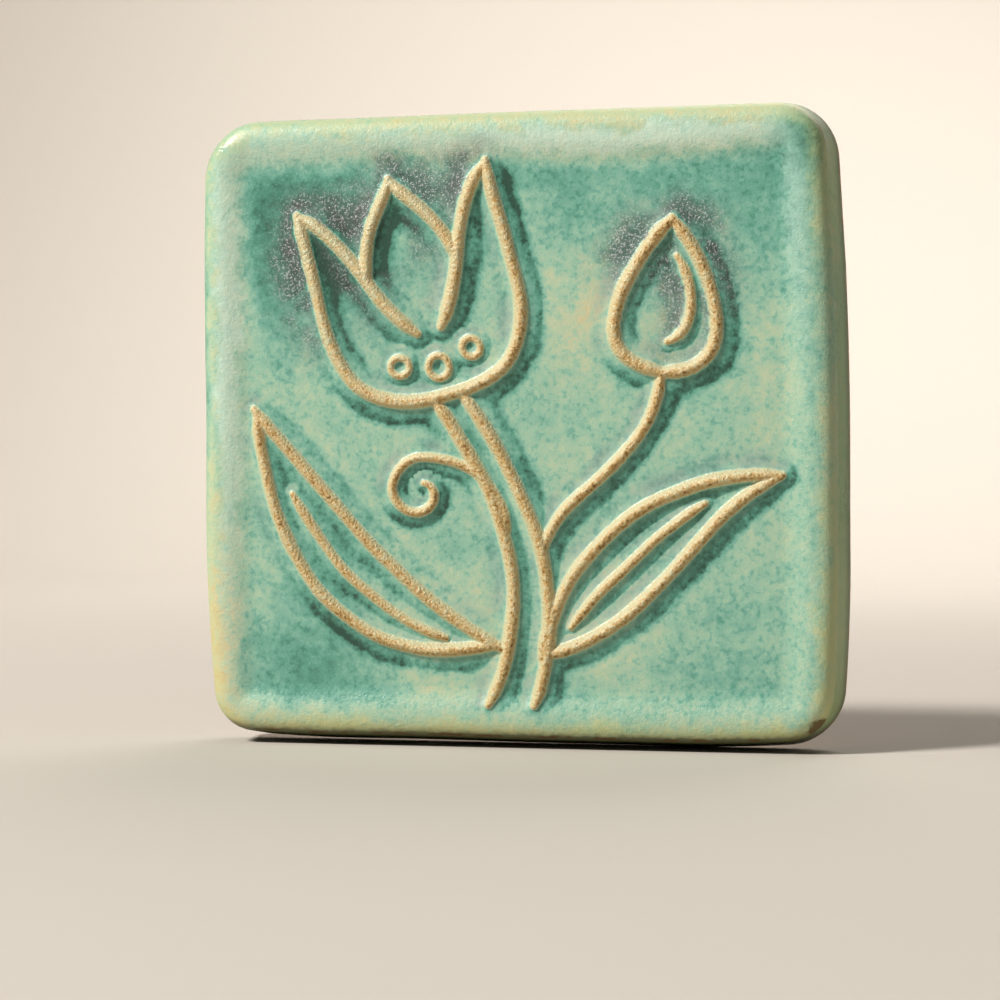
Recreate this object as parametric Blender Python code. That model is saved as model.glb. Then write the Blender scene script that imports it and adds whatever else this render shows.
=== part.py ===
"""A hand-pressed, nearly square art tile: one solid of glazed clay, with a rolled edge, a soft rim,
a sunken field and a tulip spray drawn on it in raised lines.

The back lies on the plane Y = 0 with its centre at the origin, and the face looks along -Y.
"""

import math
from collections import namedtuple

import bmesh
import bpy

# Sizes of the clay slab, in metres, measured where its sides meet its back
TILE_WIDTH = 0.102
TILE_HEIGHT = 0.0993
RIM_THICKNESS = 0.0117
SIDE_DRAFT = 0.0018
EDGE_ROLL = 0.0030
BACK_ROUND = 0.0008

# The four corners were softened by hand, each a little differently
TOP_LEFT_RADIUS = 0.0090
TOP_RIGHT_RADIUS = 0.0080
BOTTOM_RIGHT_RADIUS = 0.0100
BOTTOM_LEFT_RADIUS = 0.0070

# Sizes of the sunken field, in metres
RIM_SLOPE_WIDTH = 0.0050
FIELD_SINK = 0.0009

# Sizes of the raised lines, in metres
DRAWING_MARGIN = 0.0020
LINE_WIDTH = 0.0022
LINE_RISE = 0.0012
LINE_STEP = 0.0024

# Widths of the single lines, as shares of LINE_WIDTH
STEM_SHARE = 1.0
PETAL_SHARE = 1.0
LEAF_SHARE = 0.95
RIB_SHARE = 0.75
STALK_SHARE = 0.85
TENDRIL_SHARE = 0.72
SEED_SHARE = 0.55

# How far a line thins out at its open ends
END_TAPER = 0.62

# How finely the round stretches are cut
CORNER_SEGMENTS = 8
ROLL_SEGMENTS = 5
BACK_SEGMENTS = 2
SLOPE_STEPS = 5
LINE_SIDES_RESOLUTION = 2
CURVE_STEPS = 48

# Each line's facets are turned from the last one's by this angle
LINE_TURN_DEG = 17.8

TILE_COLOUR = (0.30, 0.47, 0.34, 1.0)
TILE_ROUGHNESS = 0.4
WELD_DISTANCE = 1e-6

Line = namedtuple("Line", "points width closed")


def clear_scene():
    for item in list(bpy.data.objects):
        bpy.data.objects.remove(item, do_unlink=True)


def new_collection(name):
    collection = bpy.data.collections.new(name)
    bpy.context.scene.collection.children.link(collection)
    return collection


# The drawing is worked out in shares of its own half side, across and up

def bezier(start, start_handle, end_handle, end):
    """Points of a cubic curve from start to end."""
    points = []
    for step in range(CURVE_STEPS + 1):
        t = step / CURVE_STEPS
        u = 1 - t
        weights = (u ** 3, 3 * u * u * t, 3 * u * t * t, t ** 3)
        corners = (start, start_handle, end_handle, end)
        points.append(tuple(sum(w * c[axis] for w, c in zip(weights, corners)) for axis in (0, 1)))
    return points


def beside(start, end, along, left):
    """The point at that share of the way from start to end, and that share of it to the left."""
    across, up = end[0] - start[0], end[1] - start[1]
    return (start[0] + across * along - up * left, start[1] + up * along + across * left)


def swing(start, end, first_bow, last_bow):
    """A curve from start to end that bows to the left of the straight way, or right if negative."""
    return bezier(start, beside(start, end, 0.30, first_bow), beside(start, end, 0.72, last_bow), end)


def mirrored(points):
    return [(-across, up) for across, up in reversed(points)]


def placed(lines, origin, lean_deg):
    """Lines drawn upright at 0, 0 lean to the left by lean_deg and move to origin."""
    cosine, sine = math.cos(math.radians(lean_deg)), math.sin(math.radians(lean_deg))

    def move(point):
        across, up = point
        return (origin[0] + across * cosine - up * sine, origin[1] + across * sine + up * cosine)

    return [line._replace(points=[move(point) for point in line.points]) for line in lines]


def leaf(base, tip, left_bows, right_bows):
    """Two edges from base to tip, and a midrib that stops short of both."""
    middle_bows = [(left + right) / 2 for left, right in zip(left_bows, right_bows)]
    rib = swing(base, tip, *middle_bows)
    rib_start, rib_end = round(0.14 * CURVE_STEPS), round(0.76 * CURVE_STEPS)
    right_base, right_tip = beside(base, tip, 0.015, 0), beside(base, tip, 0.99, 0)
    return [
        Line(swing(base, tip, *left_bows), LEAF_SHARE, False),
        Line(swing(right_base, right_tip, *right_bows), LEAF_SHARE, False),
        Line(rib[rib_start:rib_end], RIB_SHARE, False),
    ]


def ring(centre, radius):
    turns = [2 * math.pi * step / CURVE_STEPS for step in range(CURVE_STEPS)]
    points = [(centre[0] + radius * math.cos(a), centre[1] + radius * math.sin(a)) for a in turns]
    return Line(points, SEED_SHARE, True)


def bloom(height, width):
    """A tulip's cup seen from the side: an outer edge, two folded petals, a middle one and seeds."""
    half = width / 2
    tip = (half, 0.96 * height)
    edge = bezier((0, 0), (1.35 * half, -0.02 * height), (0.92 * half, 0.52 * height), tip)
    fold = bezier((0.97 * half, 0.945 * height), (0.58 * half, 0.84 * height), (0.46 * half, 0.46 * height),
                  (0.13 * half, 0.30 * height))
    middle = bezier((-0.03 * half, height), (0.12 * half, 0.88 * height), (0.44 * half, 0.80 * height),
                    (0.47 * half, 0.57 * height))
    petals = [mirrored(edge)[:-1] + edge, fold, mirrored(fold), middle, mirrored(middle)]
    seeds = [ring((0.38 * half * side, (0.13 + 0.045 * abs(side)) * height), 0.036 - 0.006 * abs(side))
             for side in (-1, 0, 1)]
    return [Line(points, PETAL_SHARE, False) for points in petals] + seeds


def bud(height, width):
    """A closed bud: its two edges and one folded petal."""
    half = width / 2
    edge = bezier((-0.05 * half, 0), (1.5 * half, 0.05 * height), (0.9 * half, 0.62 * height),
                  (-0.04 * half, height))
    fold = bezier((0.05 * half, 0.20 * height), (0.62 * half, 0.30 * height),
                  (0.46 * half, 0.60 * height), (0.10 * half, 0.76 * height))
    return [
        Line(edge, PETAL_SHARE, False),
        Line(mirrored(edge), PETAL_SHARE, False),
        Line(fold, RIB_SHARE, False),
    ]


def stem(root, neck, spread):
    """Two lines side by side, wider apart at the root."""
    lines = []
    for side in (-1, 1):
        gap = spread * side / 2
        points = bezier((root[0] + 1.5 * gap, root[1]), (0.16 + gap, -0.55), (0.02 + gap, -0.20),
                        (neck[0] + 0.9 * gap, neck[1] + 0.24 * gap))
        lines.append(Line(points, STEM_SHARE, False))
    return lines


def tendril(start, shoulder, centre, turns, shrink):
    """A thin shoot that leaves the stem at start, passes its shoulder and winds in round centre."""
    reach = shoulder[1] - centre[1]
    lead = bezier(start, (start[0] - 0.02, start[1] + 0.14), (shoulder[0] + 0.16, shoulder[1]), shoulder)
    curl = []
    for step in range(1, CURVE_STEPS + 1):
        t = step / CURVE_STEPS
        radius, angle = reach * shrink ** t, math.pi / 2 + 2 * math.pi * turns * t
        curl.append((centre[0] + radius * math.cos(angle), centre[1] + radius * math.sin(angle)))
    return Line(lead + curl, TENDRIL_SHARE, False)


def tulip_spray():
    """Every raised line of the drawing."""
    root, neck, bud_neck = (0.0, -0.90), (-0.21, 0.10), (0.50, 0.16)
    stalk = bezier((0.105, -0.40), (0.20, -0.18), (0.46, -0.14), bud_neck)
    lines = stem(root, neck, 0.10)
    lines += placed(bloom(0.72, 0.66), neck, 14)
    lines.append(Line(stalk, STALK_SHARE, False))
    lines += placed(bud(0.50, 0.36), bud_neck, -6)
    lines += leaf((-0.03, -0.72), (-0.86, 0.06), (0.10, 0.02), (0.44, 0.24))
    lines += leaf((0.10, -0.74), (0.87, -0.16), (0.26, 0.22), (-0.18, 0.06))
    lines.append(tendril((-0.005, -0.34), (-0.30, -0.10), (-0.30, -0.22), 0.95, 0.30))
    return lines


def evenly_spaced(points, spacing, closed):
    """The same route with points about spacing apart, its ends kept."""
    route = points + points[:1] if closed else points
    lengths = [math.dist(a, b) for a, b in zip(route, route[1:])]
    count = max(3, round(sum(lengths) / spacing))
    spaced, covered, leg = [], 0.0, 0
    for step in range(count if closed else count + 1):
        target = sum(lengths) * step / count
        while leg < len(lengths) - 1 and covered + lengths[leg] < target:
            covered += lengths[leg]
            leg += 1
        share = min(1.0, (target - covered) / lengths[leg])
        spaced.append(tuple(a + (b - a) * share for a, b in zip(route[leg], route[leg + 1])))
    return spaced


def tile_material():
    material = bpy.data.materials.new("green matt glaze")
    material.use_nodes = True
    shader = material.node_tree.nodes["Principled BSDF"]
    shader.inputs["Base Color"].default_value = TILE_COLOUR
    shader.inputs["Roughness"].default_value = TILE_ROUGHNESS
    shader.inputs["Metallic"].default_value = 0.0
    return material


def corner_edge(mesh, side_x, side_z):
    """The edge from back to front at one corner of the slab: side_x and side_z are 1 or -1."""
    def at_corner(vertex):
        return vertex.co.x * side_x > 0 and vertex.co.z * side_z > 0

    return [edge for edge in mesh.edges
            if all(at_corner(v) for v in edge.verts)
            and abs(edge.verts[0].co.y - edge.verts[1].co.y) > RIM_THICKNESS / 2]


def perimeter(mesh, depth):
    """The edges whose two ends both lie at that Y."""
    return [edge for edge in mesh.edges if all(abs(v.co.y - depth) < WELD_DISTANCE for v in edge.verts)]


def round_edges(mesh, edges, radius, segments):
    bmesh.ops.bevel(mesh, geom=edges, offset=radius, segments=segments, profile=0.5, affect="EDGES")


def sink_field(mesh):
    """Steps the front face inwards and down along half a cosine wave, from the rim to the field."""
    field = min(mesh.faces, key=lambda face: face.calc_center_median().y)
    half_width = TILE_WIDTH / 2 - SIDE_DRAFT - EDGE_ROLL
    half_height = TILE_HEIGHT / 2 - SIDE_DRAFT - EDGE_ROLL
    step_in = RIM_SLOPE_WIDTH / SLOPE_STEPS
    sunk = 0.0
    for step in range(1, SLOPE_STEPS + 1):
        bmesh.ops.inset_region(mesh, faces=[field], thickness=0.0)
        depth = FIELD_SINK * (1 - math.cos(math.pi * step / SLOPE_STEPS)) / 2
        bmesh.ops.scale(mesh, vec=(1 - step_in / half_width, 1, 1 - step_in / half_height), verts=field.verts)
        bmesh.ops.translate(mesh, vec=(0, depth - sunk, 0), verts=field.verts)
        half_width -= step_in
        half_height -= step_in
        sunk = depth


def make_slab(collection):
    """The clay slab with its drafted sides, rounded corners, rolled edge, rim and sunken field."""
    mesh = bmesh.new()
    bmesh.ops.create_cube(mesh, size=1.0)
    bmesh.ops.scale(mesh, vec=(TILE_WIDTH, RIM_THICKNESS, TILE_HEIGHT), verts=mesh.verts)
    bmesh.ops.translate(mesh, vec=(0, -RIM_THICKNESS / 2, 0), verts=mesh.verts)
    front = [v for v in mesh.verts if v.co.y < -RIM_THICKNESS / 2]
    narrowed = (1 - 2 * SIDE_DRAFT / TILE_WIDTH, 1, 1 - 2 * SIDE_DRAFT / TILE_HEIGHT)
    bmesh.ops.scale(mesh, vec=narrowed, verts=front)
    round_edges(mesh, corner_edge(mesh, -1, 1), TOP_LEFT_RADIUS, CORNER_SEGMENTS)
    round_edges(mesh, corner_edge(mesh, 1, 1), TOP_RIGHT_RADIUS, CORNER_SEGMENTS)
    round_edges(mesh, corner_edge(mesh, 1, -1), BOTTOM_RIGHT_RADIUS, CORNER_SEGMENTS)
    round_edges(mesh, corner_edge(mesh, -1, -1), BOTTOM_LEFT_RADIUS, CORNER_SEGMENTS)
    round_edges(mesh, perimeter(mesh, -RIM_THICKNESS), EDGE_ROLL, ROLL_SEGMENTS)
    round_edges(mesh, perimeter(mesh, 0.0), BACK_ROUND, BACK_SEGMENTS)
    sink_field(mesh)
    data = bpy.data.meshes.new("art_tile")
    mesh.to_mesh(data)
    mesh.free()
    data.materials.append(tile_material())
    slab = bpy.data.objects.new("art_tile", data)
    collection.objects.link(slab)
    return slab


def make_line(number, line, collection):
    """One raised line: a round bead along its route, thinner at open ends.

    Each bead is turned about its own route, so that no two facets lie in one plane where lines cross.
    """
    name = f"line_{number:02d}"
    half_side = TILE_HEIGHT / 2 - DRAWING_MARGIN
    depth = -(RIM_THICKNESS - FIELD_SINK) - (LINE_RISE - LINE_WIDTH / 2) * line.width
    route = [(across * half_side, up * half_side) for across, up in line.points]
    route = evenly_spaced(route, LINE_STEP * line.width, line.closed)
    curve = bpy.data.curves.new(name, "CURVE")
    curve.dimensions = "3D"
    curve.bevel_depth = LINE_WIDTH / 2 * line.width
    curve.bevel_resolution = LINE_SIDES_RESOLUTION
    curve.use_fill_caps = not line.closed
    spline = curve.splines.new("POLY")
    spline.points.add(len(route) - 1)
    spline.use_cyclic_u = line.closed
    for point, (across, up) in zip(spline.points, route):
        point.co = (across, depth, up, 1.0)
        point.tilt = math.radians(LINE_TURN_DEG) * number
    if not line.closed:
        spline.points[0].radius = END_TAPER
        spline.points[-1].radius = END_TAPER
    bead = bpy.data.objects.new(name, curve)
    collection.objects.link(bead)
    return bead_as_mesh(bead, collection)


def bead_as_mesh(bead, collection):
    """Replaces a bead's curve by a mesh with welded caps, which a Boolean can join."""
    evaluated = bead.evaluated_get(bpy.context.evaluated_depsgraph_get())
    data = bpy.data.meshes.new_from_object(evaluated)
    mesh = bmesh.new()
    mesh.from_mesh(data)
    bmesh.ops.remove_doubles(mesh, verts=mesh.verts, dist=WELD_DISTANCE)
    bmesh.ops.recalc_face_normals(mesh, faces=mesh.faces)
    mesh.to_mesh(data)
    mesh.free()
    solid = bpy.data.objects.new(bead.name + "_bead", data)
    solid.matrix_world = bead.matrix_world.copy()
    solid.hide_render = True
    solid.display_type = "WIRE"
    collection.objects.link(solid)
    bpy.data.objects.remove(bead, do_unlink=True)
    return solid


def join_lines(slab, beads):
    for bead in beads:
        union = slab.modifiers.new("join " + bead.name, "BOOLEAN")
        union.operation = "UNION"
        union.solver = "EXACT"
        union.object = bead


def main():
    clear_scene()
    tile_pieces = new_collection("art tile")
    line_pieces = new_collection("raised lines")
    slab = make_slab(tile_pieces)
    beads = [make_line(number, line, line_pieces)
             for number, line in enumerate(tulip_spray(), start=1)]
    join_lines(slab, beads)


main()
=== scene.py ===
# %% [markdown]
# # A hand-pressed art tile
#
# The real thing is a square of clay about 10 cm wide and 12 mm thick. Soft clay was pressed into a
# plaster mould that had a drawing cut into it as grooves, so the drawing stands up on the tile in
# rounded lines. A thick matt green glaze was brushed over all of it but the back. In the kiln the glaze
# ran off whatever stands up, where it is now thin and the clay shows through tan, and it gathered dark
# at the foot of each line.
#
# The cells below follow that order: the drawing, the pressed clay, the glaze, and then the light. The
# tile's size isn't chosen here. It comes from the packed model, which is loaded first as a fixed frame.

# %% Load the tile's fixed frame
import math
from collections import namedtuple

import bmesh
import bpy
import numpy as np
from mathutils import Matrix, Vector, noise


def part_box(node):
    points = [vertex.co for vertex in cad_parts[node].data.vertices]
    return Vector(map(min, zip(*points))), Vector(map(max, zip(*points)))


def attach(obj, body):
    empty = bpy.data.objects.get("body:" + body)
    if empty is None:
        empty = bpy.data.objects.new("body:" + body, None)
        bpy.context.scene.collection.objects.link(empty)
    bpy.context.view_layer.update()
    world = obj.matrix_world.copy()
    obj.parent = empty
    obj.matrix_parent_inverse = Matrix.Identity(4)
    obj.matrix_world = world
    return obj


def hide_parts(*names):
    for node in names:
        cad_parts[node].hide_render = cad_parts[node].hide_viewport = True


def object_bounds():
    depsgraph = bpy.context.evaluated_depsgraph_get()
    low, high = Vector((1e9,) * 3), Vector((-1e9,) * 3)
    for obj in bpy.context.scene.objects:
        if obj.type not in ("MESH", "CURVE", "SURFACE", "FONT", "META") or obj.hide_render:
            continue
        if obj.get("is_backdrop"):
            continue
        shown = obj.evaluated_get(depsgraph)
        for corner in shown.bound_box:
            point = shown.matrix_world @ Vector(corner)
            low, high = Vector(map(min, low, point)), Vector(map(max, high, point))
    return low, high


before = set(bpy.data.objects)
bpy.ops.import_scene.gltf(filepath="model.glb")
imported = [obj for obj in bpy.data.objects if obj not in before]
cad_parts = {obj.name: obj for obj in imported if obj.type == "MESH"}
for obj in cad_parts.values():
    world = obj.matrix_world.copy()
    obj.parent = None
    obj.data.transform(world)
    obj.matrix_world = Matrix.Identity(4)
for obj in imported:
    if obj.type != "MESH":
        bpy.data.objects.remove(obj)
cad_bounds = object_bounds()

MM = 0.001
tile_low, tile_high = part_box("art_tile")
print("the frame's tile measures, in mm:", [round(length / MM, 2) for length in tile_high - tile_low])

# %% [markdown]
# ## The camera
#
# The photograph was taken from close by, a little to the right of the tile and a little below its
# middle: the tile's right side shows, and its top and bottom edges drift apart towards the right. A
# wide lens from nearer would drift them more, and a long lens from far away would make them parallel.
# So the distance is settled first, by how much the edges drift, and then the lens, by how much of the
# picture the tile fills. The camera is aimed a little past the middle, since the tile doesn't sit in
# the middle of the picture either.

# %% Place the camera
CAMERA_TURN_DEG = 12.0
CAMERA_LIFT_DEG = -2.0
CAMERA_DISTANCE = 356.5 * MM
AIM_RIGHT = -0.9 * MM
AIM_UP = -11.4 * MM
LENS_MM = 84.0
SENSOR_MM = 36.0


def bearing(turn_deg, lift_deg):
    """The direction in which something lies that is seen turn_deg to the tile's right and lift_deg up."""
    turn, lift = math.radians(turn_deg), math.radians(lift_deg)
    return Vector((math.sin(turn) * math.cos(lift), -math.cos(turn) * math.cos(lift), math.sin(lift)))


def look_at(thing, place, target):
    """Puts a camera or a lamp at a place and turns it to face a target, with its own top up."""
    thing.location = place
    thing.rotation_euler = (target - place).to_track_quat("-Z", "Y").to_euler()


face_middle = Vector((0, tile_low.y, 0))
camera_data = bpy.data.cameras.new("camera")
camera_data.lens = LENS_MM
camera_data.sensor_width = SENSOR_MM
camera = bpy.data.objects.new("camera", camera_data)
bpy.context.scene.collection.objects.link(camera)
look_at(camera, face_middle + CAMERA_DISTANCE * bearing(CAMERA_TURN_DEG, CAMERA_LIFT_DEG),
        face_middle + Vector((AIM_RIGHT, 0, AIM_UP)))
bpy.context.scene.camera = camera
print("camera at, in mm:", [round(length / MM) for length in camera.location])

# %% [markdown]
# ## The ground it stands on
#
# A pale sheet lies under the tile and rises behind it in one wide bend, as a photographer hangs paper.
# Without the bend there would be a hard horizon behind the tile. It is one line, drawn from the side and
# pulled out sideways. It starts far behind, so that the tile can also be looked at from the back.

# %% Hang the pale sheet
SHEET_BEHIND = 0.75
SHEET_BEND = 0.50
SHEET_FRONT = 1.6
SHEET_TOP = 1.8
SHEET_HALF_WIDTH = 2.2
BEND_STEPS = 24


def sheet_line(floor):
    """The sheet seen from the side, from its front edge along the floor and up to its top."""
    line = [(-SHEET_FRONT, floor)]
    for step in range(BEND_STEPS + 1):
        angle = math.pi / 2 * step / BEND_STEPS
        line.append((SHEET_BEHIND + SHEET_BEND * math.sin(angle), floor + SHEET_BEND * (1 - math.cos(angle))))
    return line + [(SHEET_BEHIND + SHEET_BEND, SHEET_TOP)]


sheet_mesh = bmesh.new()
drawn_verts = [sheet_mesh.verts.new((-SHEET_HALF_WIDTH, y, z)) for y, z in sheet_line(tile_low.z)]
drawn_edges = [sheet_mesh.edges.new(pair) for pair in zip(drawn_verts, drawn_verts[1:])]
pulled = bmesh.ops.extrude_edge_only(sheet_mesh, edges=drawn_edges)["geom"]
bmesh.ops.translate(sheet_mesh, vec=(2 * SHEET_HALF_WIDTH, 0, 0),
                    verts=[item for item in pulled if isinstance(item, bmesh.types.BMVert)])
sheet_data = bpy.data.meshes.new("paper_sheet")
sheet_mesh.to_mesh(sheet_data)
sheet_mesh.free()
sheet_data.shade_smooth()
paper_sheet = bpy.data.objects.new("paper_sheet", sheet_data)
bpy.context.scene.collection.objects.link(paper_sheet)
paper_sheet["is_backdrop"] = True
print("the sheet has", len(sheet_data.polygons), "faces")

# %% [markdown]
# ## The drawing
#
# The drawing is a tulip spray, in one unbroken weight of line. It could be traced as a picture and
# raised from that, but a picture has only as much detail as its pixels. Here it is drawn with curves
# instead, in shares of its own half side, so it can be pressed at any fineness. Every curve is a cubic
# Bezier: a start, an end and two handles that pull the way between them.

# %% Draw with curves
CURVE_STEPS = 48
Line = namedtuple("Line", "points width closed")


def bezier(start, start_handle, end_handle, end, steps=CURVE_STEPS):
    """Points of a cubic curve from start to end."""
    points = []
    for step in range(steps + 1):
        t = step / steps
        u = 1 - t
        weights = (u ** 3, 3 * u * u * t, 3 * u * t * t, t ** 3)
        corners = (start, start_handle, end_handle, end)
        points.append(tuple(sum(w * c[axis] for w, c in zip(weights, corners)) for axis in (0, 1)))
    return points


def beside(start, end, along, left):
    """The point at that share of the way from start to end, and that share of it to the left."""
    across, up = end[0] - start[0], end[1] - start[1]
    return (start[0] + across * along - up * left, start[1] + up * along + across * left)


def swing(start, end, first_bow, last_bow):
    """A curve from start to end that bows to the left of the straight way, or right if negative."""
    return bezier(start, beside(start, end, 0.30, first_bow), beside(start, end, 0.72, last_bow), end)


def mirrored(points):
    return [(-across, up) for across, up in reversed(points)]


def placed(lines, origin, lean_deg):
    """Lines drawn upright at 0, 0 lean to the left by lean_deg and move to origin."""
    cosine, sine = math.cos(math.radians(lean_deg)), math.sin(math.radians(lean_deg))

    def move(point):
        across, up = point
        return (origin[0] + across * cosine - up * sine, origin[1] + across * sine + up * cosine)

    return [line._replace(points=[move(point) for point in line.points]) for line in lines]


print("a bow drawn to the left passes", beside((0, 0), (0, 1), 0.5, 0.2))

# %% [markdown]
# The bloom is seen from the side: one long line is the cup's outer edge, from tip to tip, and two
# folds fall from the tips into it. The middle petal stands behind them, so its two edges stop at the
# folds. Three small rings are the seeds. Half of it is drawn and the rest is mirrored.

# %% Draw the bloom and the bud
PETAL_SHARE = 1.0
RIB_SHARE = 0.75
SEED_SHARE = 0.55


def ring(centre, radius):
    turns = [2 * math.pi * step / CURVE_STEPS for step in range(CURVE_STEPS)]
    points = [(centre[0] + radius * math.cos(a), centre[1] + radius * math.sin(a)) for a in turns]
    return Line(points, SEED_SHARE, True)


def bloom(height, width):
    """A tulip's cup seen from the side: an outer edge, two folded petals, a middle one and seeds."""
    half = width / 2
    tip = (half, 0.96 * height)
    edge = bezier((0, 0), (1.35 * half, -0.02 * height), (0.92 * half, 0.52 * height), tip)
    fold = bezier((0.97 * half, 0.945 * height), (0.58 * half, 0.84 * height), (0.46 * half, 0.46 * height),
                  (0.13 * half, 0.30 * height))
    middle = bezier((0, height), (0.12 * half, 0.88 * height), (0.44 * half, 0.80 * height),
                    (0.47 * half, 0.57 * height))
    petals = [mirrored(edge)[:-1] + edge, fold, mirrored(fold), middle, mirrored(middle)]
    seeds = [ring((0.38 * half * side, (0.13 + 0.045 * abs(side)) * height), 0.036 - 0.006 * abs(side))
             for side in (-1, 0, 1)]
    return [Line(points, PETAL_SHARE, False) for points in petals] + seeds


def bud(height, width):
    """A closed bud: its two edges and one folded petal."""
    half = width / 2
    edge = bezier((-0.05 * half, 0), (1.5 * half, 0.05 * height), (0.9 * half, 0.62 * height), (0, height))
    fold = bezier((0.05 * half, 0.20 * height), (0.62 * half, 0.30 * height),
                  (0.46 * half, 0.60 * height), (0.10 * half, 0.76 * height))
    return [
        Line(edge, PETAL_SHARE, False),
        Line(mirrored(edge), PETAL_SHARE, False),
        Line(fold, RIB_SHARE, False),
    ]


print("a bloom takes", len(bloom(1, 1)), "lines and a bud", len(bud(1, 1)))

# %% [markdown]
# The stem is two lines side by side, a leaf is two edges and a midrib between them, and the tendril is
# a spiral: its radius shrinks by the same share at each turn.

# %% Draw the stem, the leaves and the tendril
STEM_SHARE = 1.0
LEAF_SHARE = 0.95
TENDRIL_SHARE = 0.72


def stem(root, neck, spread):
    """Two lines side by side, wider apart at the root."""
    lines = []
    for side in (-1, 1):
        gap = spread * side / 2
        points = bezier((root[0] + 1.5 * gap, root[1]), (0.16 + gap, -0.55), (0.02 + gap, -0.20),
                        (neck[0] + 0.9 * gap, neck[1] + 0.24 * gap))
        lines.append(Line(points, STEM_SHARE, False))
    return lines


def leaf(base, tip, left_bows, right_bows):
    """Two edges from base to tip, and a midrib that stops short of both."""
    middle_bows = [(left + right) / 2 for left, right in zip(left_bows, right_bows)]
    rib = swing(base, tip, *middle_bows)
    rib_start, rib_end = round(0.14 * CURVE_STEPS), round(0.76 * CURVE_STEPS)
    right_base, right_tip = beside(base, tip, 0.015, 0), beside(base, tip, 0.99, 0)
    return [
        Line(swing(base, tip, *left_bows), LEAF_SHARE, False),
        Line(swing(right_base, right_tip, *right_bows), LEAF_SHARE, False),
        Line(rib[rib_start:rib_end], RIB_SHARE, False),
    ]


def tendril(start, shoulder, centre, turns, shrink):
    """A thin shoot that leaves the stem at start, passes its shoulder and winds in round centre."""
    reach = shoulder[1] - centre[1]
    lead = bezier(start, (start[0] - 0.02, start[1] + 0.14), (shoulder[0] + 0.16, shoulder[1]), shoulder)
    curl = []
    for step in range(1, CURVE_STEPS + 1):
        t = step / CURVE_STEPS
        radius, angle = reach * shrink ** t, math.pi / 2 + 2 * math.pi * turns * t
        curl.append((centre[0] + radius * math.cos(angle), centre[1] + radius * math.sin(angle)))
    return Line(lead + curl, TENDRIL_SHARE, False)


print("a leaf takes", len(leaf((0, 0), (0, 1), (0.2, 0.2), (-0.2, -0.2))), "lines")

# %% Put the spray together
STALK_SHARE = 0.85


def tulip_spray():
    """Every raised line of the drawing."""
    root, neck, bud_neck = (0.0, -0.90), (-0.21, 0.10), (0.50, 0.16)
    stalk = bezier((0.105, -0.40), (0.20, -0.18), (0.46, -0.14), bud_neck)
    lines = stem(root, neck, 0.10)
    lines += placed(bloom(0.72, 0.66), neck, 14)
    lines.append(Line(stalk, STALK_SHARE, False))
    lines += placed(bud(0.50, 0.36), bud_neck, -6)
    lines += leaf((-0.03, -0.72), (-0.86, 0.06), (0.10, 0.02), (0.44, 0.24))
    lines += leaf((0.10, -0.74), (0.87, -0.16), (0.26, 0.22), (-0.18, 0.06))
    lines.append(tendril((-0.005, -0.34), (-0.30, -0.10), (-0.30, -0.22), 0.95, 0.30))
    return lines


spray = tulip_spray()
print("the spray has", len(spray), "lines")

# %% [markdown]
# ## The tile's sizes
#
# The sides lean in a little towards the face, so that the clay came out of its mould. The frame's box
# gives the width at the back and the whole depth, and the sizes below split them up: how much the sides
# lean, how far the front edge rolls over, and how far the field lies below the rim.

# %% Split the tile's sizes up
SIDE_DRAFT = 1.8 * MM
EDGE_ROLL = 3.0 * MM
BACK_ROUND = 0.8 * MM
RIM_SLOPE_WIDTH = 5.0 * MM
FIELD_SINK = 0.9 * MM
LINE_WIDTH = 2.2 * MM
LINE_RISE = 1.2 * MM
DRAWING_MARGIN = 2.0 * MM
CORNER_RADII = {"top left": 8.8 * MM, "top right": 6.6 * MM,
                "bottom right": 6.4 * MM, "bottom left": 5.4 * MM}

rim_thickness = tile_high.y - tile_low.y - (LINE_RISE - FIELD_SINK)
half_box = np.array([tile_high.x - tile_low.x, tile_high.z - tile_low.z]) / 2
half_back = half_box + SIDE_DRAFT * BACK_ROUND / rim_thickness
half_face = half_back - SIDE_DRAFT - EDGE_ROLL
half_drawing = half_back[1] - DRAWING_MARGIN
print(f"the rim stands {rim_thickness / MM:.1f} mm high and the face inside the roll measures, in mm:",
      np.round(2 * half_face / MM, 1))

# %% [markdown]
# ## Where each point lies from the lines
#
# A groove that is cut by hand has the same cross-section all along, so one number is enough to shape the
# ridge it leaves: how far a point of the face lies from the middle of the line. The same number later
# tells the glaze where to be thin and where to gather. It is measured to each short straight piece of
# the line, for thousands of points at once with numpy.
#
# The knife wandered a little. Each line is moved by a slow noise that depends only on the place, so
# lines that meet still meet. Blender's noise_vector would do it in one call, but it starts from the clock
# and draws another tile each time. Two layers of plain noise are the same in every run.

# %% Let the drawn lines wander
WANDER = 0.35 * MM
WANDER_LENGTH = 9 * MM
WANDER_LAYERS = (7, 8)
ROUTE_STEP = 0.5 * MM
Route = namedtuple("Route", "places share closed")


def wandered(place):
    """The place a little way off, sideways by one layer of noise and upwards by another."""
    drift = [noise.noise(place / WANDER_LENGTH + Vector((0, 0, layer))) for layer in WANDER_LAYERS]
    return place + WANDER * Vector((*drift, 0))


def route_of(line):
    """A line's places on the tile, in metres, no further apart than ROUTE_STEP."""
    drawn = [Vector((across, up, 0)) * half_drawing for across, up in line.points]
    if line.closed:
        drawn.append(drawn[0])
    places = [drawn[0]]
    for start, end in zip(drawn, drawn[1:]):
        parts = math.ceil((end - start).length / ROUTE_STEP)
        places += [start.lerp(end, part / parts) for part in range(1, parts + 1)]
    return Route(np.array([wandered(place).to_2d() for place in places]), line.width, line.closed)


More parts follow.
